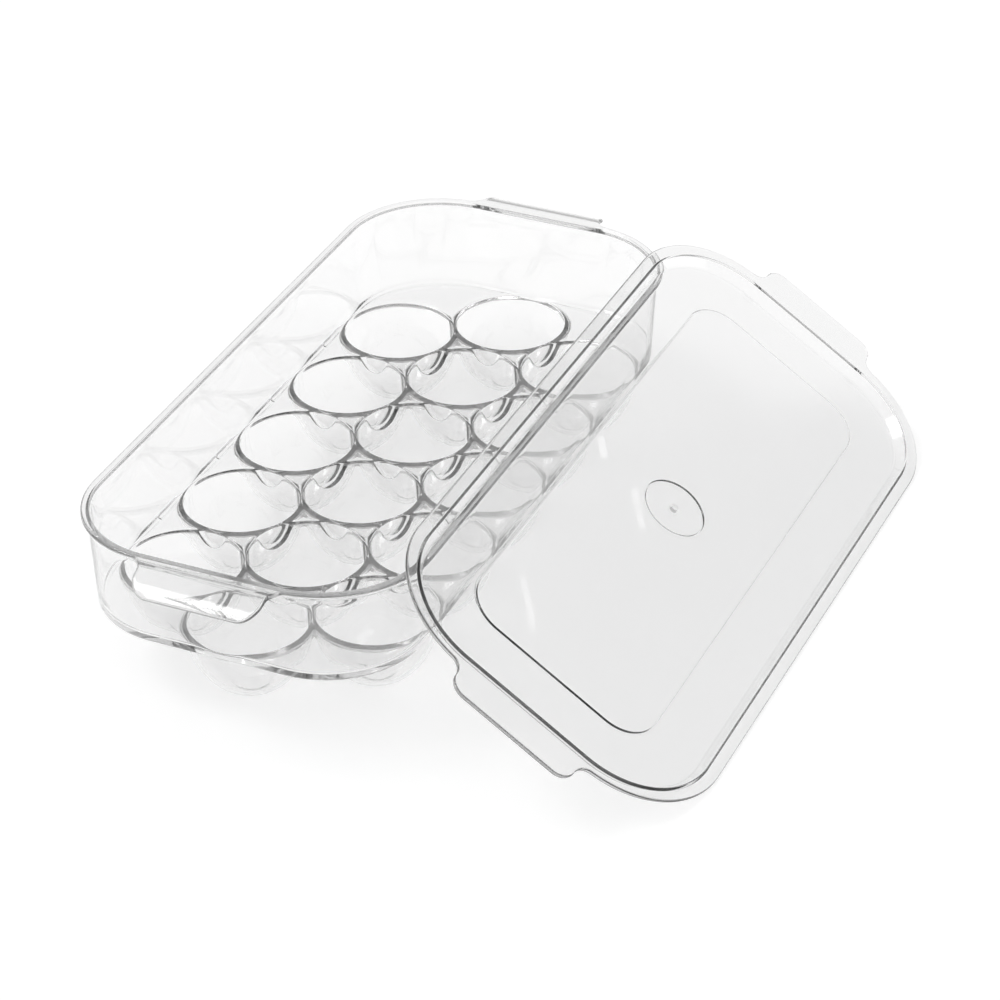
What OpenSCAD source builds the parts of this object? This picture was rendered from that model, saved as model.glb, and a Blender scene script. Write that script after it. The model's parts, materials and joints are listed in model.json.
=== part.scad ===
// Egg keeper of clear plastic: a tray with hanging egg cups and a loose lid that leans on its long side.
// The origin is the middle of the tray on the table. +Y runs along the tray, +X towards the lid, +Z up.
// Two mouldings: the tray, and the lid. Each is drawn in regions that meet face to face.

/* [Egg cups] */
// Distance between neighbouring cups in one row
cup_pitch = 48; // [47.5:0.5:54]
// Distance between the middle lines of neighbouring rows
row_gap = 40.2; // [40:0.2:46]
// Diameter of a cup's mouth inside
cup_mouth_d = 44; // [40:0.5:44.5]
// Width of the rounded lip round a cup's mouth
cup_lip = 1.2; // [0.6:0.1:1.4]
// Wall of a cup
cup_wall = 2.2; // [1.6:0.1:2.6]
// Height of a cup, from the table to the top of the floor between the cups
cup_h = 30.5; // [26:0.5:36]
// Flat foot under each cup
cup_foot_d = 12; // [8:0.5:16]

/* [Tray] */
// Thickness of the floor between the cups
floor_t = 2; // [1.5:0.1:3]
// Thickness of the side walls
wall_t = 1.6; // [1.2:0.1:2.4]
// Height of the walls above the floor, to the top of the rim
wall_h = 37.5; // [25:0.5:60]
// How far the walls lean out between the floor and the rim
wall_draft = 2; // [0.5:0.1:4]
// Outer corner radius of the tray at the floor
corner_r = 37.6; // [34:0.2:40]
// Free floor between the last cup's lip and an end wall
end_margin = 0.8; // [0.2:0.1:6]
// Free floor between the outer cups' lips and a side wall
side_margin = 0.2; // [0.1:0.1:6]
// Thickness of the rim
rim_t = 2.4; // [1.6:0.1:4]
// How far the rim stands out from the walls
rim_over = 2; // [1:0.1:4]

/* [Tray handles] */
// How far a handle stands out from the rim
grip_out = 14.7; // [10:0.1:20]
// How far its outer edge hangs below the rim's top
grip_drop = 6; // [4:0.1:8]
// Half the width of a handle
grip_half_w = 26; // [18:0.5:30]
// Thickness of a handle
grip_t = 2; // [1.4:0.1:2.2]
// Radius of a handle's outer corners
grip_corner_r = 8; // [4:0.5:9]
// Radius where a handle's sides run into the rim
grip_root_r = 6; // [3:0.5:7]

/* [Lid] */
// Thickness of the lid
lid_t = 1.8; // [1.4:0.1:2.4]
// How far the lid's flange stands out past the tray's rim
lid_over = 1.3; // [0.4:0.1:3]
// Depth of the sunk middle of the lid, on its upper side
lid_sink = 4.2; // [3:0.1:8]
// Gap between the sunk middle and the tray's walls when the lid is on
lid_fit_gap = 0.4; // [0.2:0.05:1]
// Draft of the sunk middle's side
lid_draft = 0.3; // [0.1:0.1:1]
// Radius of the rounding above and below the sunk middle's side
lid_round = 2; // [1:0.1:2.4]
// How far a lid tab stands out from the flange
tab_out = 12.4; // [8:0.1:18]
// Half the width of a lid tab
tab_half_w = 27; // [18:0.5:30]
// Radius of a tab's outer corners
tab_corner_r = 6.8; // [4:0.2:8]
// Radius where a tab's sides run into the flange
tab_root_r = 5.5; // [3:0.5:7]
// Half length of the shallow step in the panel
step_half_l = 119.9; // [90:0.1:125]
// Half width of the shallow step in the panel
step_half_w = 40.9; // [25:0.1:50]
// Corner radius of the shallow step
step_r = 15.5; // [8:0.5:20]
// Depth of the shallow step
step_depth = 0.5; // [0.3:0.1:0.8]
// Diameter of the round mark in the middle
mark_d = 30; // [16:1:40]
// Depth of the round mark below the step
mark_depth = 0.3; // [0.2:0.1:0.4]
// Diameter of the small moulding pip in the mark
pip_d = 2.4; // [1.5:0.1:4]

/* [Leaning lid] */
// Gap between the leaning lid and the rim it leans on
lean_gap = 0.3; // [0.2:0.05:0.6]
// Distance across the lid from the side of its sunk middle to where the rim touches it
lean_inset = 5.3; // [4.5:0.1:12]
// How far the leaning lid sits towards the back of the tray
lean_shift = 3; // [-10:0.5:10]

/* [Hidden] */
$fn = 96;
// Steps of a bowl's quarter curve and of a rounded edge
CUP_STEPS = 10;
ROUND_STEPS = 5;
// How far cutting shapes run past what they cut
OVER = 1;
// How far the floor's cells run outwards before the outline cuts them
FAR = 200;
PIP_H = 0.3;

// Cup rows: five cups in each outer row, six in the middle row
ROW_XS = [-1, 0, 1];
function row_count(row) = row == 0 ? 6 : 5;
cups = [for (row = ROW_XS) for (i = [0:row_count(row) - 1]) [row, i - (row_count(row) - 1) / 2]];
function cup_pos(cup) = [cup[0] * row_gap, cup[1] * cup_pitch];

mouth_r = cup_mouth_d / 2;
lip_r = mouth_r + cup_lip;
cup_r = mouth_r + cup_wall;
foot_r = cup_foot_d / 2;

// Corners of a cup's share of the floor, which is bounded midway to each neighbour
cell_x0 = (row_gap * row_gap - cup_pitch * cup_pitch / 4) / (2 * row_gap);
cell_x1 = (row_gap * row_gap + cup_pitch * cup_pitch / 4) / (2 * row_gap);
cell_y = cup_pitch / 2;

// Outer outline of the tray at the floor
half_l = 2.5 * cup_pitch + lip_r + end_margin + wall_t;
half_w = row_gap + lip_r + side_margin + wall_t;
corner_x = half_w - corner_r;
corner_y = half_l - corner_r;
top_z = cup_h + wall_h;
rim_z = top_z - rim_t;
wall_out_r = corner_r + wall_draft;
rim_r = wall_out_r + rim_over;
rim_x = corner_x + rim_r;
rim_y = corner_y + rim_r;

// Lid outline, sharing the tray's corner centres
lid_r = rim_r + lid_over;
lid_edge_r = lid_t / 2;
sink_out_r = wall_out_r - wall_t - lid_fit_gap;
sink_foot_r = sink_out_r - lid_draft;
sink_in_r = sink_out_r - lid_t;
panel_r = sink_in_r - lid_draft - lid_round;
panel_top = -lid_sink;
panel_low = -lid_sink - lid_t;

// The lid stands on its lower long edge and leans on the rim
pivot_v = corner_x + lid_r - lid_edge_r;
touch_v = corner_x + sink_foot_r - lean_inset;
lean_run = pivot_v + touch_v;
lean_fall = -panel_low + lean_gap - lid_edge_r;
lean = asin((top_z - lid_edge_r) / norm([lean_run, lean_fall])) + atan2(lean_fall, lean_run);
pivot_x = rim_x + lean_run * cos(lean) + lean_fall * sin(lean);
pivot_z = lid_edge_r;
echo(lean_degrees = lean, pivot_x = pivot_x, pivot_z = pivot_z);

SIDES = ["left", "right"];
ENDS = ["front", "back"];

function side_sign(s) = s == "left" ? -1 : 1;
function end_sign(e) = e == "front" ? -1 : 1;

// Points of an arc about a centre
function arc(centre, r, from, to, steps) =
    [for (i = [0:steps]) let (a = from + (to - from) * i / steps) centre + r * [cos(a), sin(a)]];

// Corner centres on the plus side of each axis serve a profile whose x is the distance from the corner centre
module long_side(s) {
    translate([side_sign(s) * corner_x, 0, 0])
        rotate([0, 0, s == "left" ? 180 : 0])
            translate([0, corner_y, 0])
                rotate([90, 0, 0])
                    linear_extrude(2 * corner_y) children();
}

module end_side(e) {
    translate([0, end_sign(e) * corner_y, 0])
        rotate([0, 0, e == "front" ? -90 : 90])
            translate([0, corner_x, 0])
                rotate([90, 0, 0])
                    linear_extrude(2 * corner_x) children();
}

module corner(e, s) {
    turn = e == "back" ? (s == "right" ? 0 : 90) : (s == "right" ? 270 : 180);
    translate([side_sign(s) * corner_x, end_sign(e) * corner_y, 0])
        rotate([0, 0, turn]) rotate_extrude(angle = 90) children();
}

// A rounded rectangle about the shared corner centres, as a slab
module outline_slab(r, low, high) {
    translate([0, 0, low]) {
        linear_extrude(high - low) square([2 * (corner_x + r), 2 * corner_y], center = true);
        linear_extrude(high - low) square([2 * corner_x, 2 * (corner_y + r)], center = true);
        for (sx = [-1, 1])
            for (sy = [-1, 1])
                translate([sx * corner_x, sy * corner_y, 0]) cylinder(r = r, h = high - low);
    }
}

// Egg cups: each is a bowl with its share of the floor

// Half profile of a bowl, from the axis at the foot up to its edge
function bowl_points(r, depth, foot) =
    [for (i = [0:CUP_STEPS]) let (a = 90 * i / CUP_STEPS, x = r * sin(a)) if (x > foot)
        [x, cup_h - depth * cos(a)]];

module bowl_outside() {
    side = bowl_points(cup_r, cup_h, foot_r);
    rotate_extrude() polygon(concat([[0, 0], [foot_r, 0]], side, [[0, cup_h]]));
}

module bowl_inside() {
    depth = cup_h - cup_wall;
    side = bowl_points(mouth_r, depth, foot_r - cup_wall / 2);
    lip = arc([lip_r, cup_h - cup_lip], cup_lip, 180, 90, ROUND_STEPS);
    low = [for (p = side) if (p[1] < cup_h - cup_lip) p];
    rotate_extrude()
        polygon(concat(
            [[0, cup_wall], [foot_r - cup_wall / 2, cup_wall]], low, lip, [[lip_r, cup_h + OVER], [0, cup_h + OVER]]
        ));
}

// Outline of a cup's share of the floor: a hexagon, opened outwards where no cup follows
function cell_points(cup) =
    let (
        row = cup[0],
        last = (row_count(row) - 1) / 2,
        slope = (cell_x1 - cell_x0) / cell_y,
        back_end = cup[1] == last,
        front_end = cup[1] == -last,
        far_y = cell_y + FAR
    )
    row == 0
        ? concat(
            [[cell_x1, 0]],
            back_end
                ? [[cell_x1 + slope * far_y, far_y], [-cell_x1 - slope * far_y, far_y]]
                : [[cell_x0, cell_y], [-cell_x0, cell_y]],
            [[-cell_x1, 0]],
            front_end
                ? [[-cell_x1 - slope * far_y, -far_y], [cell_x1 + slope * far_y, -far_y]]
                : [[-cell_x0, -cell_y], [cell_x0, -cell_y]]
        )
        : concat(
            [[-cell_x1 * row, 0]],
            back_end
                ? [[(-cell_x1 + slope * far_y) * row, far_y], [FAR * row, far_y]]
                : [[-cell_x0 * row, cell_y], [FAR * row, cell_y]],
            front_end
                ? [[FAR * row, -far_y], [(-cell_x1 + slope * far_y) * row, -far_y]]
                : [[FAR * row, -cell_y], [-cell_x0 * row, -cell_y]]
        );

module egg_cup(cup) {
    color([0.86, 0.9, 0.92])
        intersection() {
            translate(cup_pos(cup))
                difference() {
                    union() {
                        bowl_outside();
                        translate([0, 0, cup_h - floor_t]) linear_extrude(floor_t) polygon(cell_points(cup));
                    }
                    bowl_inside();
                }
            translate(cup_pos(cup)) linear_extrude(cup_h) polygon(cell_points(cup));
            outline_slab(corner_r, 0, cup_h);
        }
}

// Tray walls with the rim along their top, standing on the edge of the floor

module wall_profile() {
    polygon([
        [corner_r - wall_t, cup_h],
        [corner_r, cup_h],
        [corner_r + wall_draft * (rim_z - cup_h) / wall_h, rim_z],
        [rim_r, rim_z],
        [rim_r, top_z],
        [wall_out_r - wall_t, top_z]
    ]);
}

module long_wall(s) {
    color([0.82, 0.88, 0.91]) long_side(s) wall_profile();
}

module end_wall(e) {
    color([0.8, 0.87, 0.9]) end_side(e) wall_profile();
}

module corner_wall(e, s) {
    color([0.78, 0.86, 0.9]) corner(e, s) wall_profile();
}

// Plan of a handle or tab that grows out of an edge: rounded outer corners, swept-in sides
module grip_plan(half_w, out, corner, root, seat, high) {
    bend = min(corner, out - root);
    steps = 2 * ROUND_STEPS;
    linear_extrude(high)
        polygon(concat(
            [[half_w + root, -seat]],
            arc([half_w + root, root], root, 270, 180, steps),
            arc([half_w - bend, out - bend], bend, 0, 90, steps),
            arc([bend - half_w, out - bend], bend, 90, 180, steps),
            arc([-half_w - root, root], root, 0, -90, steps),
            [[-half_w - root, -seat]]
        ));
}

// Tray handles: a lip that curls down from the rim at each end
grip_bend_r = (grip_out * grip_out + grip_drop * grip_drop) / (2 * grip_drop);

module tray_handle(e) {
    bend_z = top_z - grip_bend_r;
    wide = 2 * (grip_half_w + grip_root_r + OVER);
    color([0.84, 0.89, 0.92])
        rotate([0, 0, e == "front" ? 180 : 0])
            difference() {
                translate([0, rim_y, bend_z])
                    intersection() {
                        grip_plan(grip_half_w, grip_out, grip_corner_r, grip_root_r, rim_over, grip_bend_r + OVER);
                        rotate([0, 90, 0])
                            difference() {
                                cylinder(r = grip_bend_r, h = wide, center = true);
                                cylinder(r = grip_bend_r - grip_t, h = wide + OVER, center = true);
                            }
                    }
                outline_slab(rim_r, bend_z - OVER, top_z + OVER);
            }
}

// The lid is drawn flat, its flange's upper face at zero, and then stood up against the rim
module leaning() {
    translate([pivot_x, lean_shift, pivot_z])
        rotate([0, lean, 0])
            translate([-pivot_v, 0, lid_edge_r]) children();
}

module lid_edge_profile() {
    edge = arc([lid_r - lid_edge_r, -lid_edge_r], lid_edge_r, 90, -90, 2 * ROUND_STEPS);
    top_round = arc([sink_in_r + lid_round, -lid_round], lid_round, 180, 90, ROUND_STEPS);
    low_round = arc([panel_r, panel_top + lid_round], lid_round, 270, 360, ROUND_STEPS);
    foot_round = arc([sink_foot_r - lid_round, panel_low + lid_round], lid_round, 0, -90, ROUND_STEPS);
    polygon(concat(
        low_round, top_round, edge, [[sink_out_r, -lid_t]], foot_round, [[panel_r, panel_low]]
    ));
}

module lid_long_edge(s) {
    color([0.88, 0.93, 0.95]) leaning() long_side(s) lid_edge_profile();
}

module lid_end_edge(e) {
    color([0.86, 0.92, 0.95])
        leaning()
            difference() {
                end_side(e) lid_edge_profile();
                tab_plate(e, OVER);
            }
}

module lid_corner(e, s) {
    color([0.84, 0.91, 0.94])
        leaning()
            difference() {
                corner(e, s) lid_edge_profile();
                tab_plate(e, OVER);
            }
}

// The flat sunk panel with a shallow step, a round mark and the moulding pip
module lid_panel() {
    step_z = panel_top - step_depth;
    mark_z = step_z - mark_depth;
    color([0.9, 0.94, 0.96])
        leaning() {
            difference() {
                outline_slab(panel_r, panel_low, panel_top);
                translate([0, 0, step_z])
                    step_slab(step_half_w, step_half_l, step_r, step_depth + OVER);
                translate([0, 0, mark_z]) cylinder(d = mark_d, h = mark_depth + step_depth + OVER);
            }
            translate([0, 0, mark_z]) cylinder(d = pip_d, h = PIP_H, $fn = 32);
        }
}

module step_slab(half_x, half_y, r, high) {
    translate([-half_x + r, -half_y, 0]) cube([2 * (half_x - r), 2 * half_y, high]);
    translate([-half_x, -half_y + r, 0]) cube([2 * half_x, 2 * (half_y - r), high]);
    for (sx = [-1, 1])
        for (sy = [-1, 1])
            translate([sx * (half_x - r), sy * (half_y - r), 0]) cylinder(r = r, h = high);
}

// Lid tabs: flat plates level with the flange, let into its rounded edge
module tab_plate(e, spare) {
    rotate([0, 0, e == "front" ? 180 : 0])
        translate([0, corner_y + lid_r, -lid_t - spare])
            grip_plan(tab_half_w, tab_out, tab_corner_r, tab_root_r, lid_edge_r, lid_t + 2 * spare);
}

module lid_tab(e) {
    color([0.85, 0.9, 0.93]) leaning() tab_plate(e, 0);
}

for (k = [0:len(cups) - 1])
    egg_cup(cups[k]);
for (s = SIDES)
    long_wall(s);
for (e = ENDS)
    end_wall(e);
for (e = ENDS)
    for (s = SIDES)
        corner_wall(e, s);
for (e = ENDS)
    tray_handle(e);
lid_panel();
for (s = SIDES)
    lid_long_edge(s);
for (e = ENDS)
    lid_end_edge(e);
for (e = ENDS)
    for (s = SIDES)
        lid_corner(e, s);
for (e = ENDS)
    lid_tab(e);
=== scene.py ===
import json
import math

import bmesh
import bpy
import numpy as np
from mathutils import Matrix


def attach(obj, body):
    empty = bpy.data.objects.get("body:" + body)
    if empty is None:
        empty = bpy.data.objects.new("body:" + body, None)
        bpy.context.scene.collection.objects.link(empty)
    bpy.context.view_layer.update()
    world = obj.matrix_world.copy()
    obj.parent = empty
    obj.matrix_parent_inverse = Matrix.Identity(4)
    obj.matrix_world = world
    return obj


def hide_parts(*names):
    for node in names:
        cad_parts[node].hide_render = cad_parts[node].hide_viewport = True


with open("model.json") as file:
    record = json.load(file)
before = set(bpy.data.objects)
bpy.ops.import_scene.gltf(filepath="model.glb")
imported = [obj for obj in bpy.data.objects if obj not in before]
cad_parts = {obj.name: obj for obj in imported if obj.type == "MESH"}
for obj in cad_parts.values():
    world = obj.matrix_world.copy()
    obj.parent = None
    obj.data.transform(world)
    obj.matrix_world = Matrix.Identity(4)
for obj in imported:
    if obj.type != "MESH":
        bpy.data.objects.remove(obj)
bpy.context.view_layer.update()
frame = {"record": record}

# The tray
# One injection moulding in clear polystyrene: sixteen thin bowls hang from a floor, and a drafted wall stands on
# the floor's edge. The rim stiffens the wall's top and droops at each end into a handle. It is drawn as closed
# rings of points in millimetres, welded into one skin, because the real one has no joints.

MM = 0.001

cup_pitch = 48.0
row_gap = 40.2
mouth_r = 22.7
lip_round = 0.5
bowl_r = 24.4
bowl_wall = 1.7
cup_h = 30.5
foot_r = 6.0
floor_t = 2.0
web_blend = 0.5
edge_round = 1.2

wall_h = 37.5
wall_t = 1.6
wall_top_t = 1.2
wall_draft = 2.0
corner_r = 37.6
end_margin = 0.8
side_margin = 0.2
foot_fillet = 2.2

rim_t = 2.4
rim_over = 2.0
rim_fillet = 0.25
grip = dict(half=26.0, out=14.7, corner=8.0, root=6.0)
grip_t = 2.0
grip_drop = 6.0

lip_r = mouth_r + lip_round
half_l = 2.5 * cup_pitch + lip_r + end_margin + wall_t
half_w = row_gap + lip_r + side_margin + wall_t
corner_x = half_w - corner_r
corner_y = half_l - corner_r
inner_r = corner_r - wall_t
floor_low = cup_h - floor_t
top_z = cup_h + wall_h
rim_low = top_z - rim_t
wall_top_r = corner_r + wall_draft
mouth_top_r = wall_top_r - wall_top_t
rim_r = wall_top_r + rim_over
grip_bend = (grip["out"] ** 2 + grip_drop ** 2) / (2 * grip_drop)

# Three neighbouring cups meet this far from the middle line
meet_near = (row_gap ** 2 - cup_pitch ** 2 / 4) / (2 * row_gap)
meet_far = (row_gap ** 2 + cup_pitch ** 2 / 4) / (2 * row_gap)

cups = [(0, t) for t in (-2.5, -1.5, -0.5, 0.5, 1.5, 2.5)]
cups += [(row, t) for row in (-1, 1) for t in (-2, -1, 0, 1, 2)]
cup_xy = np.array([(row * row_gap, t * cup_pitch) for row, t in cups])

side_step = 1.4
corner_step = 1.2
end_step = 0.7
cell_step = 1.35
fillet_share = 0.9
fillet_least = 0.12
foot_ease = (2.0, 5.0)
grip_thinning = 3.0


def spaced(stops, step):
    """Evenly spaced values from stop to stop, without the last one."""
    out = []
    for a, b in zip(stops, stops[1:]):
        n = max(1, round(abs(b - a) / step))
        out += [a + (b - a) * i / n for i in range(n)]
    return out


def parting_angle():
    """Angle at a corner of the outline where the line between the last two cups meets it."""
    start = np.array([meet_near - corner_x, 2 * cup_pitch - corner_y])
    along = np.array([cup_pitch / 2, row_gap])
    a, b, c = along @ along, 2 * start @ along, start @ start - corner_r ** 2
    hit = start + along * (-b + math.sqrt(b * b - 4 * a * c)) / (2 * a)
    return math.degrees(math.atan2(hit[1], hit[0]))


def outline_stations(grip_reach, edge_r):
    """Corner centres and outward directions all round, with a station where each handle begins."""
    root = math.degrees(math.asin((grip_reach - corner_x) / edge_r))
    part = parting_angle()
    turn = math.degrees(corner_step / corner_r)
    ys = [-corner_y, *[t * cup_pitch for t in (-1.5, -0.5, 0.5, 1.5)], corner_y]
    half = [(corner_x, y, 0) for y in spaced(ys, side_step)]
    half += [(corner_x, corner_y, a) for a in spaced([0, part, 90 - root, 90], turn)]
    half += [(x, corner_y, 90) for x in spaced([corner_x, -corner_x], end_step)]
    half += [(-corner_x, corner_y, a) for a in spaced([90, 90 + root, 180 - part, 180], turn)]
    marks = np.array(half + [(-x, -y, a + 180) for x, y, a in half])
    angle = np.radians(marks[:, 2])
    return marks[:, :2], np.stack([np.cos(angle), np.sin(angle)], 1)


def at_height(plan, z):
    """Plan points with a height."""
    return np.column_stack([plan, np.broadcast_to(z, len(plan))])


def smooth(t):
    """Eases from 0 to 1."""
    t = np.clip(t, 0, 1)
    return t * t * (3 - 2 * t)


centres, ways = outline_stations(grip["half"] + grip["root"], rim_r)
foot_line = centres + corner_r * ways


def parting_station(side, t):
    """The station at which the line between two cups meets the outline."""
    if abs(t) < 2:
        goal = (side * half_w, t * cup_pitch)
    else:
        angle = math.radians(parting_angle())
        out = np.array([math.cos(angle), math.sin(angle)])
        corner = np.array([corner_x, corner_y]) + corner_r * out
        goal = corner * (side, math.copysign(1, t))
    return int(np.argmin(np.linalg.norm(foot_line - goal, axis=1)))


def cell_outline(row, t, edge):
    """One cup's share of the floor, anticlockwise, out to the edge that is given at the stations."""
    y, half = t * cup_pitch, cup_pitch / 2
    if row:
        path = [(row * meet_far, y + row * half), (row * meet_near, y)]
        path += [(row * meet_far, y - row * half)]
        ends = (row, t - row / 2), (row, t + row / 2)
    elif abs(t) > 2:
        s = math.copysign(1, t)
        path = [(-s * meet_far, y), (-s * meet_near, y - s * half)]
        path += [(s * meet_near, y - s * half), (s * meet_far, y)]
        ends = (s, t), (-s, t)
    else:
        path = [(meet_far, y), (meet_near, y + half), (-meet_near, y + half)]
        path += [(-meet_far, y), (-meet_near, y - half), (meet_near, y - half), (meet_far, y)]
        ends = None
    path = [np.array(p, float) for p in path]
    line = []
    if ends:
        a, b = parting_station(*ends[0]), parting_station(*ends[1])
        run = np.arange(a, b + (len(edge) if b < a else 0) + 1) % len(edge)
        line = list(edge[run][:-1])
        path = [edge[b], *path, edge[a]]
    for p, q in zip(path, path[1:]):
        n = max(1, round(np.linalg.norm(q - p) / cell_step))
        line += [p + (q - p) * i / n for i in range(n)]
    return np.array(line)


def spokes(centre, line, radii):
    """Rings round a cup: on each spoke to the line, a point at each radius."""
    off = line - centre
    far = np.linalg.norm(off, axis=1)
    spread = [np.reshape(np.broadcast_to(r, len(far)), (-1, 1)) for r in radii(far)]
    return [centre + off / far[:, None] * r for r in spread]


def upper_rings(centre, line):
    """A cup from above: floor, rounded lip and bowl."""
    around = np.radians(np.linspace(0, 90, 7))
    down = np.radians(np.linspace(87.2, 3, 30))
    depth = cup_h - bowl_wall
    radii = [*(lip_r - lip_round * np.sin(around)), *(mouth_r * np.sin(down))]
    heights = [*(cup_h - lip_round + lip_round * np.cos(around)), *(cup_h - depth * np.cos(down))]
    plan = spokes(centre, line, lambda far: [lip_r + (far - lip_r) * t for t in (1, 0.6, 0.25)] + radii)
    return [at_height(p, z) for p, z in zip(plan, [cup_h] * 3 + heights)], (*centre, bowl_wall)


def distance_below(xy, z):
    """Rough distance to the plastic seen from below: bowls and floor, blended where they meet."""
    drop = ((cup_h - z) / cup_h)[:, None]
    rho = np.linalg.norm(xy[:, None] - cup_xy[None], axis=2)
    size = np.hypot(rho / bowl_r, drop)
    slope = np.hypot(rho / bowl_r ** 2, drop / cup_h) + 1e-9
    bowls = (size - 1) * size / slope
    beyond = np.linalg.norm(np.clip(np.abs(xy) - (corner_x, corner_y), 0, None), axis=1)
    side = beyond - corner_r + edge_round
    under = floor_low + edge_round - z
    board = np.where((side > 0) & (under > 0), np.hypot(side, under), np.maximum(side, under)) - edge_round
    every = np.column_stack([bowls, board])
    least = every.min(axis=1)
    return least - web_blend * np.log(np.exp(-(every - least[:, None]) / web_blend).sum(axis=1))


def underside(xy):
    """Height of the tray's lower surface, found by halving; the foot of a cup is flat."""
    low, high = np.full(len(xy), -1.0), np.full(len(xy), floor_low + edge_round)
    for _ in range(26):
        mid = (low + high) / 2
        outside = distance_below(xy, mid) > 0
        low, high = np.where(outside, mid, low), np.where(outside, high, mid)
    near = np.linalg.norm(xy[:, None] - cup_xy[None], axis=2).min(axis=1)
    start, length = foot_ease
    return np.maximum(high * smooth((near - foot_r + start) / length), 0)


def lower_rings(centre, line):
    """A cup from below: its share of the floor's underside, and its bowl."""
    band, bowl = 10, 30

    def radii(far):
        edge = np.minimum(far - 1.0, bowl_r * 0.995)
        top = np.arcsin(edge / bowl_r)
        out = [edge + (far - edge) * (1 + math.cos(math.pi * i / band)) / 2 for i in range(band)]
        return out + [bowl_r * np.sin(top * (1 - i / (bowl + 1))) for i in range(bowl + 1)]

    return [at_height(p, underside(p)) for p in spokes(centre, line, radii)], (*centre, 0.0)


def foot_fillets():
    """Fillet at the wall's foot: full where there is floor, nearly none where a cup's lip comes close."""
    foot = centres + inner_r * ways
    gap = np.linalg.norm(foot[:, None] - cup_xy[None], axis=2).min(axis=1) - lip_r
    return np.clip(fillet_share * gap, fillet_least, foot_fillet)


def ring(centres, ways, r, z):
    """One closed row at a radius from the corner centres."""
    return at_height(centres + ways * np.reshape(np.broadcast_to(r, len(ways)), (-1, 1)), z)


def wall_lean(z):
    """How far the drafted wall stands out at a height."""
    return wall_draft * (z - cup_h) / wall_h


def grip_outline(half, out, corner, root):
    """Outline of a handle or tab from its right root to its left: points and outward directions."""
    bits = []
    for centre, r, start, end, outwards in (
        ((half + root, root), root, 270, 180, -1),
        ((half - corner, out - corner), corner, 0, 90, 1),
        ((corner - half, out - corner), corner, 90, 180, 1),
        ((-half - root, root), root, 360, 270, -1),
    ):
        angle = np.radians(np.linspace(start, end, 25))
        way = np.stack([np.cos(angle), np.sin(angle)], 1)
        bits.append(np.hstack([np.array(centre) + r * way, outwards * way]))
    line = np.vstack(bits)
    length = np.append(0, np.cumsum(np.linalg.norm(np.diff(line[:, :2], axis=0), axis=1)))
    return length / length[-1], line


def edge_with_grips(centres, ways, edge_r, half, out, corner, root):
    """Plan of an edge that has a handle or tab at each end: points and outward directions."""
    points, facing = centres + edge_r * ways, ways.copy()
    share, line = grip_outline(half, out, corner, root)
    end_y = corner_y + edge_r
    for s in (1, -1):
        zone = np.flatnonzero((np.abs(points[:, 0]) < half + root + MM) & (s * points[:, 1] > corner_y))
        plain = points[zone] * s
        walk = np.append(0, np.cumsum(np.linalg.norm(np.diff(plain, axis=0), axis=1)))
        at = [np.interp(walk / walk[-1], share, line[:, c]) for c in range(4)]
        sag = (plain[0, 1] - end_y) * np.clip(1 - at[1] / root, 0, 1)
        points[zone] = s * np.stack([at[0], end_y + at[1] + sag], 1)
        facing[zone] = s * np.stack([at[2], at[3]], 1)
    return points, facing / np.linalg.norm(facing, axis=1, keepdims=True)


def plate_edge(top_from, low_from, outer, facing, z, thick, bend_y=math.inf, bend_r=1e6, steps=12):
    """Rows over a flat or drooping plate: out along its top, round its edge and back underneath."""

    def surface(plan, face, tilt=0.0):
        reach = np.clip(np.abs(plan[:, 1]) - bend_y, 0, None)
        half_t = thick(reach) / 2
        radius = bend_r - half_t
        rise = np.sqrt(radius ** 2 - reach ** 2)
        lean = np.sign(plan[:, 1]) * reach / radius
        up = np.column_stack([np.zeros(len(plan)), lean, rise / radius])
        out = np.column_stack([facing, -facing[:, 1] * lean / np.sqrt(1 - lean ** 2)])
        out /= np.linalg.norm(out, axis=1, keepdims=True)
        mid = np.column_stack([plan, z - half_t - (radius - rise)])
        return mid + half_t[:, None] * (face * math.cos(tilt) * up + math.sin(tilt) * out)

    cap = outer - facing * (thick(np.clip(np.abs(outer[:, 1]) - bend_y, 0, None)) / 2)[:, None]
    rows = [surface(top_from + (cap - top_from) * t, 1) for t in np.linspace(0, 1, steps)]
    rows += [surface(cap, 1, a) for a in np.radians([22.5, 45, 67.5, 90, 112.5, 135, 157.5])]
    rows += [surface(cap + (low_from - cap) * t, -1) for t in np.linspace(0, 1, steps)]
    return rows


def welded(name, sheets, place=lambda p: p):
    """Welds sheets of closed rings into one piece. A sheet may end in a single point."""
    points, faces, start = [], [], 0
    for rings, pole in sheets:
        rings = np.array(rings)
        n, m = rings.shape[:2]
        index = start + np.arange(n * m).reshape(n, m)
        after = np.roll(index, -1, axis=1)
        faces += np.stack([index[:-1], after[:-1], after[1:], index[1:]], -1).reshape(-1, 4).tolist()
        points.append(rings.reshape(-1, 3))
        start += n * m
        if pole is not None:
            faces += [(a, b, start) for a, b in zip(index[-1].tolist(), after[-1].tolist())]
            points.append(np.array([pole]))
            start += 1
    mesh = bpy.data.meshes.new(name)
    mesh.from_pydata((place(np.vstack(points)) * MM).tolist(), [], faces)
    bm = bmesh.new()
    bm.from_mesh(mesh)
    bmesh.ops.remove_doubles(bm, verts=bm.verts, dist=2e-6)
    bmesh.ops.dissolve_degenerate(bm, edges=bm.edges, dist=1e-7)
    bmesh.ops.recalc_face_normals(bm, faces=bm.faces)
    bm.to_mesh(mesh)
    bm.free()
    mesh.shade_smooth()
    piece = bpy.data.objects.new(name, mesh)
    bpy.context.scene.collection.objects.link(piece)
    return piece


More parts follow.
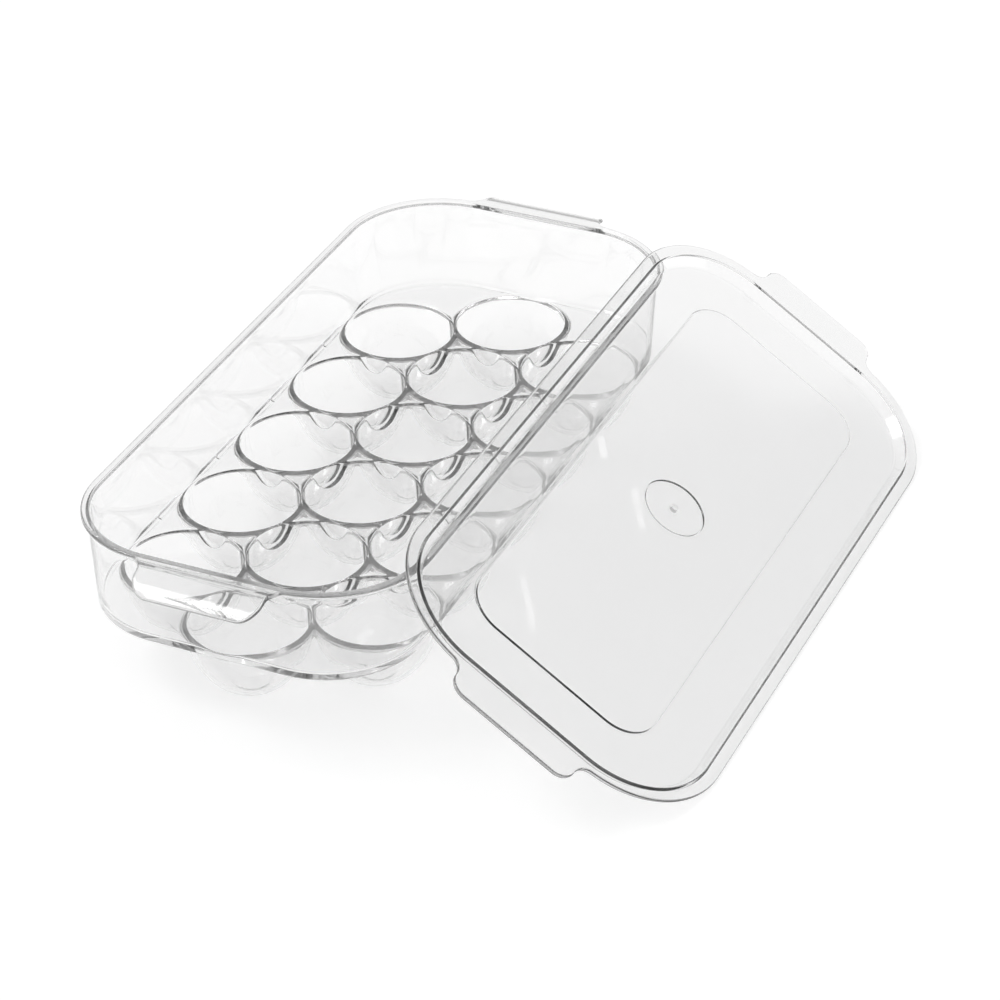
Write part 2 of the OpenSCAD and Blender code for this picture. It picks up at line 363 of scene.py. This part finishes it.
fillet = foot_fillets()
floor_edge = centres + (inner_r - fillet)[:, None] * ways
sheets = []
for (row, t), centre in zip(cups, cup_xy):
    sheets.append(upper_rings(centre, cell_outline(row, t, floor_edge)))
    sheets.append(lower_rings(centre, cell_outline(row, t, foot_line)))

quarter = np.radians(np.linspace(0, 90, 6))
foot_top = cup_h + fillet
lip_z = top_z - rim_fillet
inner_lean = (mouth_top_r - inner_r) / wall_draft
fillet_top_r = inner_r + inner_lean * wall_lean(foot_top)
rows = []
for a in quarter:
    r = inner_r - fillet + (fillet_top_r - inner_r + fillet) * math.sin(a)
    rows.append(ring(centres, ways, r, cup_h + fillet * (1 - math.cos(a))))
for share in np.linspace(0, 1, 9)[1:]:
    z = foot_top + (lip_z - foot_top) * share
    rows.append(ring(centres, ways, inner_r + inner_lean * wall_lean(z), z))
for a in quarter[1:-1]:
    r = mouth_top_r + rim_fillet * (1 - math.cos(a))
    rows.append(ring(centres, ways, r, lip_z + rim_fillet * math.sin(a)))
rim_edge, rim_facing = edge_with_grips(centres, ways, rim_r, **grip)
rows += plate_edge(
    centres + (mouth_top_r + rim_fillet) * ways, centres + (wall_top_r + rim_fillet) * ways, rim_edge, rim_facing,
    top_z, lambda reach: rim_t + (grip_t - rim_t) * smooth(reach / grip_thinning), corner_y + rim_r, grip_bend,
)
outer_top = rim_low - rim_fillet
for a in quarter[1:]:
    r = wall_top_r + rim_fillet - (rim_fillet - wall_lean(outer_top) + wall_draft) * math.sin(a)
    rows.append(ring(centres, ways, r, rim_low - rim_fillet * (1 - math.cos(a))))
outer_foot = floor_low + edge_round
for share in np.linspace(0, 1, 9)[1:-1]:
    z = outer_top + (outer_foot - outer_top) * share
    rows.append(ring(centres, ways, corner_r + wall_lean(z), z))
rows.append(at_height(foot_line, underside(foot_line)))
sheets.append((rows, None))
tray = welded("tray_moulding", sheets)


def linear(code):
    """An sRGB hex colour as linear values with alpha."""
    parts = [int(code[i:i + 2], 16) / 255 for i in (0, 2, 4)]
    return (*[c / 12.92 if c <= 0.04045 else ((c + 0.055) / 1.055) ** 2.4 for c in parts], 1)


def add_node(tree, kind, inputs=None, **settings):
    """Adds one node with its settings, and its values or links by input name or number."""
    made = tree.nodes.new(kind)
    for key, value in settings.items():
        setattr(made, key, value)
    for key, value in (inputs or {}).items():
        if isinstance(value, bpy.types.NodeSocket):
            tree.links.new(value, made.inputs[key])
        else:
            made.inputs[key].default_value = value
    return made


def clear_polystyrene(name, flow_mm, seed):
    """Clear polystyrene from a polished mould, with an IOR of 1.59. The eye gets glass-like edges that gather
    grey where light runs along the sheet, slow ripples where the melt flowed, and faint scuffs from the shelf."""
    material = bpy.data.materials.new(name)
    material.use_nodes = True
    tree = material.node_tree
    tree.nodes.clear()
    where = add_node(tree, "ShaderNodeTexCoord").outputs["Object"]
    flow = add_node(tree, "ShaderNodeTexNoise", {
        "Vector": where, "W": seed, "Scale": 1 / (flow_mm * MM), "Detail": 1.0, "Roughness": 0.4,
    }, noise_dimensions="4D")
    ripple = add_node(tree, "ShaderNodeBump", {
        "Height": flow.outputs["Fac"], "Strength": 0.3, "Distance": 0.06 * MM,
    })
    scuffs = add_node(tree, "ShaderNodeTexNoise", {
        "Vector": where, "W": seed + 5, "Scale": 1 / (9 * MM), "Detail": 4.0, "Roughness": 0.6,
    }, noise_dimensions="4D")
    rough = add_node(tree, "ShaderNodeMapRange", {
        "Value": scuffs.outputs["Fac"], "From Min": 0.45, "From Max": 0.8, "To Min": 0.0, "To Max": 0.06,
    })
    surface = add_node(tree, "ShaderNodeBsdfPrincipled", {
        "Base Color": linear("FDFDFD"), "Roughness": rough.outputs["Result"], "IOR": 1.59,
        "Transmission Weight": 1.0, "Normal": ripple.outputs["Normal"],
    })
    inside = add_node(tree, "ShaderNodeVolumeAbsorption", {"Color": linear("DEDEDE"), "Density": 42.0})
    add_node(tree, "ShaderNodeOutputMaterial", {
        "Surface": surface.outputs["BSDF"], "Volume": inside.outputs["Volume"],
    })
    return material


tray.data.materials.append(clear_polystyrene("clear_polystyrene_tray", 30, 1.0))
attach(tray, "tray")
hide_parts(*frame["record"]["behaviour"]["bodies"]["tray"])

# The lid
# One injection moulding in clear polystyrene: a flange that lies on the tray's rim, a middle that sinks into the
# tray's mouth, and a tab at each end. Its panel has a shallow raised field with a groove round it, and the round
# mark and pip that the mould's gate leaves. It leans on the tray's rim, laid aside while eggs are taken out.

lid_t = 1.8
lid_over = 1.3
lid_sink = 4.2
wall_top = 37.4
wall_foot = 34.4
bend_tight = 0.3
bend_top = 0.8
panel_reach = 3.0
flange_reach = 2.0
tab = dict(half=27.0, out=12.4, corner=6.8, root=5.5)
field_half = np.array([40.9, 119.9])
field_r = 15.5
field_h = 0.5
mark_r = 12.9
mark_depth = 0.3
pip_r = 1.2
pip_h = 0.3
crisp = 0.05
pip_edge = 0.08
groove_w = 0.45
groove_depth = 0.4
lean_gap = 0.3
lean_touch = 59.6
lean_shift = 3.0

lid_r = rim_r + lid_over
panel_low = -lid_sink - lid_t
field_z = -lid_sink + field_h
mark_z = field_z - mark_depth
lid_centres, lid_ways = outline_stations(tab["half"] + tab["root"], lid_r)
bearing = lid_centres + lid_r * lid_ways
bearing = bearing / np.linalg.norm(bearing, axis=1, keepdims=True)


def disc(r, z):
    """A ring round the lid's middle."""
    return at_height(bearing * r, z)


def field_ring(out, z):
    """A ring along the edge of the raised field."""
    inner = field_half - field_r
    return at_height(lid_centres * inner / (corner_x, corner_y) + (field_r + out) * lid_ways, z)


def bent(corners, steps=6):
    """Rows along a bent section whose corners are rounded, given as radius, height and rounding."""
    points = np.array([c[:2] for c in corners], float)
    section = [points[0]]
    for before, here, after, (_, _, r) in zip(points, points[1:], points[2:], corners[1:]):
        p, q = [(d - here) / np.linalg.norm(d - here) for d in (before, after)]
        half = math.acos(np.clip(p @ q, -1, 1)) / 2
        hub = here + (p + q) / np.linalg.norm(p + q) * r / math.sin(half)
        start, end = here + p * r / math.tan(half) - hub, here + q * r / math.tan(half) - hub
        swing = math.pi - 2 * half
        for t in np.linspace(0, 1, steps + 1):
            way = math.sin((1 - t) * swing) * start + math.sin(t * swing) * end
            section.append(hub + way / math.sin(swing))
    section.append(points[-1])
    return [ring(lid_centres, lid_ways, r, z) for r, z in section]


upper = [disc(0.6 * pip_r, mark_z + pip_h), disc(pip_r, mark_z + pip_h - pip_edge)]
upper += [disc(pip_r + 0.1, mark_z)]
upper += [disc(4, mark_z), disc(mark_r - 0.5, mark_z), disc(mark_r - crisp, mark_z)]
mark_low = mark_z - groove_depth
mark_out = mark_r + groove_w
upper += [disc(mark_r, mark_z - crisp), disc(mark_r, mark_low), disc(mark_out, mark_low)]
upper += [disc(mark_out, field_z - crisp), disc(mark_out + crisp, field_z), disc(mark_out + 0.6, field_z)]
upper += [disc(0.75 * field_half[0], field_z), field_ring(-0.8, field_z), field_ring(-crisp, field_z)]
field_low = -lid_sink - groove_depth
upper += [field_ring(0, field_z - crisp), field_ring(0, field_low), field_ring(groove_w, field_low)]
upper += [field_ring(groove_w, -lid_sink - crisp), field_ring(groove_w + crisp, -lid_sink)]
upper += [field_ring(1.2, -lid_sink)]
bend_wide = bend_tight + lid_t
upper += bent([
    (wall_foot - panel_reach, -lid_sink, 0), (wall_foot, -lid_sink, bend_top),
    (wall_top, 0, bend_top), (wall_top + flange_reach, 0, 0),
])[:-1]
tab_edge, tab_facing = edge_with_grips(lid_centres, lid_ways, lid_r, **tab)
shift = lid_t * math.tan(math.atan2(lid_sink, wall_top - wall_foot) / 2)
flange_root = lid_centres + (wall_top + flange_reach) * lid_ways
flange = plate_edge(
    flange_root, flange_root, tab_edge, tab_facing, 0.0, lambda reach: lid_t + 0 * reach,
)
lower = bent([
    (wall_top + flange_reach, -lid_t, 0), (wall_top + shift, -lid_t, bend_tight),
    (wall_foot + shift, panel_low, bend_wide), (wall_foot - panel_reach, panel_low, 0),
])[1:]
lower += [field_ring(2, panel_low), disc(0.75 * field_half[0], panel_low), disc(4, panel_low)]

pivot_v = corner_x + lid_r - lid_t / 2
lean_run = pivot_v + lean_touch
lean_fall = -panel_low + lean_gap - lid_t / 2
lean = math.asin((top_z - lid_t / 2) / math.hypot(lean_run, lean_fall)) + math.atan2(lean_fall, lean_run)
pivot_x = corner_x + rim_r + lean_run * math.cos(lean) + lean_fall * math.sin(lean)


def leaning(points):
    """Stands the lid, drawn flat, on its right long edge and tips it back against the tray's rim."""
    x, y, z = points[:, 0] - pivot_v, points[:, 1] + lean_shift, points[:, 2] + lid_t / 2
    return np.column_stack([
        pivot_x + x * math.cos(lean) + z * math.sin(lean), y, lid_t / 2 - x * math.sin(lean) + z * math.cos(lean),
    ])


lid = welded("lid_moulding", [
    ((upper + flange + lower)[::-1], (0, 0, mark_z + pip_h)),
    ([lower[-1], disc(1, panel_low)], (0, 0, panel_low)),
], leaning)
lid.data.materials.append(clear_polystyrene("clear_polystyrene_lid", 40, 2.0))
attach(lid, "lid")
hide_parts(*frame["record"]["behaviour"]["bodies"]["lid"])

# The table top
# A sheet of white opal acrylic lit from below, as clear goods are photographed on. Its glow fades from 0.6 m
# outwards, so that edges seen at a slant draw themselves in grey.

table_half = 3.0
table_drop = 0.2 * MM
fade_start, fade_end = 0.6, 1.3
glow_near, glow_far = 0.74, 0.25
corners = [(x * table_half, y * table_half, -table_drop) for x, y in ((-1, -1), (1, -1), (1, 1), (-1, 1))]
table_mesh = bpy.data.meshes.new("table_top")
table_mesh.from_pydata(corners, [], [(0, 1, 2, 3)])
table = bpy.data.objects.new("table_top", table_mesh)
bpy.context.scene.collection.objects.link(table)
opal = bpy.data.materials.new("backlit_opal_acrylic")
opal.use_nodes = True
opal.node_tree.nodes.clear()
spot = add_node(opal.node_tree, "ShaderNodeTexCoord").outputs["Object"]
reach = add_node(opal.node_tree, "ShaderNodeVectorMath", {"Vector": spot}, operation="LENGTH").outputs["Value"]
lit = add_node(opal.node_tree, "ShaderNodeMapRange", {
    "Value": reach, "From Min": fade_start, "From Max": fade_end, "To Min": glow_near, "To Max": glow_far,
}, interpolation_type="SMOOTHSTEP")
face = add_node(opal.node_tree, "ShaderNodeBsdfPrincipled", {
    "Base Color": linear("A5A5A5"), "Roughness": 0.9, "Specular IOR Level": 0.2,
    "Emission Color": linear("FFFFFF"), "Emission Strength": lit.outputs["Result"],
})
add_node(opal.node_tree, "ShaderNodeOutputMaterial", {"Surface": face.outputs["BSDF"]})
table_mesh.materials.append(opal)

# The studio light
# A dim grey room under a lighter ceiling, with one soft box at the upper left and three narrow gaps between
# blinds. The dim sides keep the mouldings' faces grey, the box draws the white lines along their edges, and the
# gaps leave three short streaks on the lid.

wall_light, ceiling_light = 0.52, 0.75
ceiling_start, ceiling_end = 0.5, 0.95
blind_gaps = ((24.5, 30.0, 0.2), (25.7, 29.6, 0.35), (27.1, 31.5, 0.5))
gap_half = 0.06
gap_light = 0.9

world = bpy.data.worlds.new("grey_studio")
bpy.context.scene.world = world
world.use_nodes = True
sky = world.node_tree
sky.nodes.clear()
look = add_node(sky, "ShaderNodeTexCoord").outputs["Generated"]
height = add_node(sky, "ShaderNodeSeparateXYZ", {"Vector": look}).outputs["Z"]
light = add_node(sky, "ShaderNodeMapRange", {
    "Value": height, "From Min": ceiling_start, "From Max": ceiling_end,
    "To Min": wall_light, "To Max": ceiling_light,
}, interpolation_type="SMOOTHSTEP").outputs["Result"]


def soft_box(light, azimuth, elevation, half_wide, half_tall, strength):
    """Adds a soft-edged bright rectangle, seen in one direction, to the room's light."""
    az, el = math.radians(azimuth), math.radians(elevation)
    ahead = (math.sin(az) * math.cos(el), math.cos(az) * math.cos(el), math.sin(el))
    across = (math.cos(az), -math.sin(az), 0)
    upwards = (-math.sin(az) * math.sin(el), -math.cos(az) * math.sin(el), math.cos(el))
    shade = strength
    for axis, half in ((across, half_wide), (upwards, half_tall)):
        off = add_node(sky, "ShaderNodeVectorMath", {0: look, 1: axis}, operation="DOT_PRODUCT").outputs["Value"]
        off = add_node(sky, "ShaderNodeMath", {0: off}, operation="ABSOLUTE").outputs["Value"]
        limit = math.sin(math.radians(half))
        inside = add_node(sky, "ShaderNodeMapRange", {
            "Value": off, "From Min": limit, "From Max": 0.7 * limit, "To Min": 0.0, "To Max": 1.0,
        }, interpolation_type="SMOOTHSTEP").outputs["Result"]
        shade = add_node(sky, "ShaderNodeMath", {0: inside, 1: shade}, operation="MULTIPLY").outputs["Value"]
    front = add_node(sky, "ShaderNodeVectorMath", {0: look, 1: ahead}, operation="DOT_PRODUCT").outputs["Value"]
    front = add_node(sky, "ShaderNodeMath", {0: front, 1: 0.0}, operation="GREATER_THAN").outputs["Value"]
    shade = add_node(sky, "ShaderNodeMath", {0: shade, 1: front}, operation="MULTIPLY").outputs["Value"]
    return add_node(sky, "ShaderNodeMath", {0: light, 1: shade}, operation="ADD").outputs["Value"]


light = soft_box(light, -110, 55, 14, 10, 6.0)
for azimuth, elevation, half_wide in blind_gaps:
    light = soft_box(light, azimuth, elevation, half_wide, gap_half, gap_light)
room = add_node(sky, "ShaderNodeBackground", {"Color": linear("FFFFFF"), "Strength": light})
add_node(sky, "ShaderNodeOutputWorld", {"Surface": room.outputs["Background"]})

# The camera
# A long lens looks down on the tray from its front right, at the angle solved from the photograph. Lengths here
# are in millimetres until the last step, and the focal length is in pixels of the 1000 pixel frame.

view_az = math.radians(24.131)
view_el = math.radians(32.432)
view_roll = math.radians(-0.502)
view_range = 1435.754
view_target = np.array([52.154, -8.671, cup_h])
focal_px = 3700.47
frame_px = 1000
sensor_mm = 36.0

back = np.array([
    math.sin(view_az) * math.cos(view_el), -math.cos(view_az) * math.cos(view_el), math.sin(view_el),
])
right = np.cross(-back, (0, 0, 1))
right /= np.linalg.norm(right)
up = np.cross(right, -back)
matrix = np.eye(4)
matrix[:3, 0] = math.cos(view_roll) * right + math.sin(view_roll) * up
matrix[:3, 1] = -math.sin(view_roll) * right + math.cos(view_roll) * up
matrix[:3, 2] = back
matrix[:3, 3] = (view_target + back * view_range) * MM
lens = bpy.data.cameras.new("camera")
lens.sensor_width = sensor_mm
lens.lens = focal_px / frame_px * sensor_mm
lens.clip_start = 0.01
camera = bpy.data.objects.new("camera", lens)
bpy.context.scene.collection.objects.link(camera)
camera.matrix_world = Matrix(matrix.tolist())
bpy.context.scene.camera = camera

bpy.context.scene.view_settings.view_transform = "Standard"

# Light runs down a moulded wall by bouncing to and fro inside it, and a low limit would draw the wall black
bounces = 96
cycles = bpy.context.scene.cycles
cycles.max_bounces = bounces
cycles.transmission_bounces = bounces
cycles.glossy_bounces = bounces
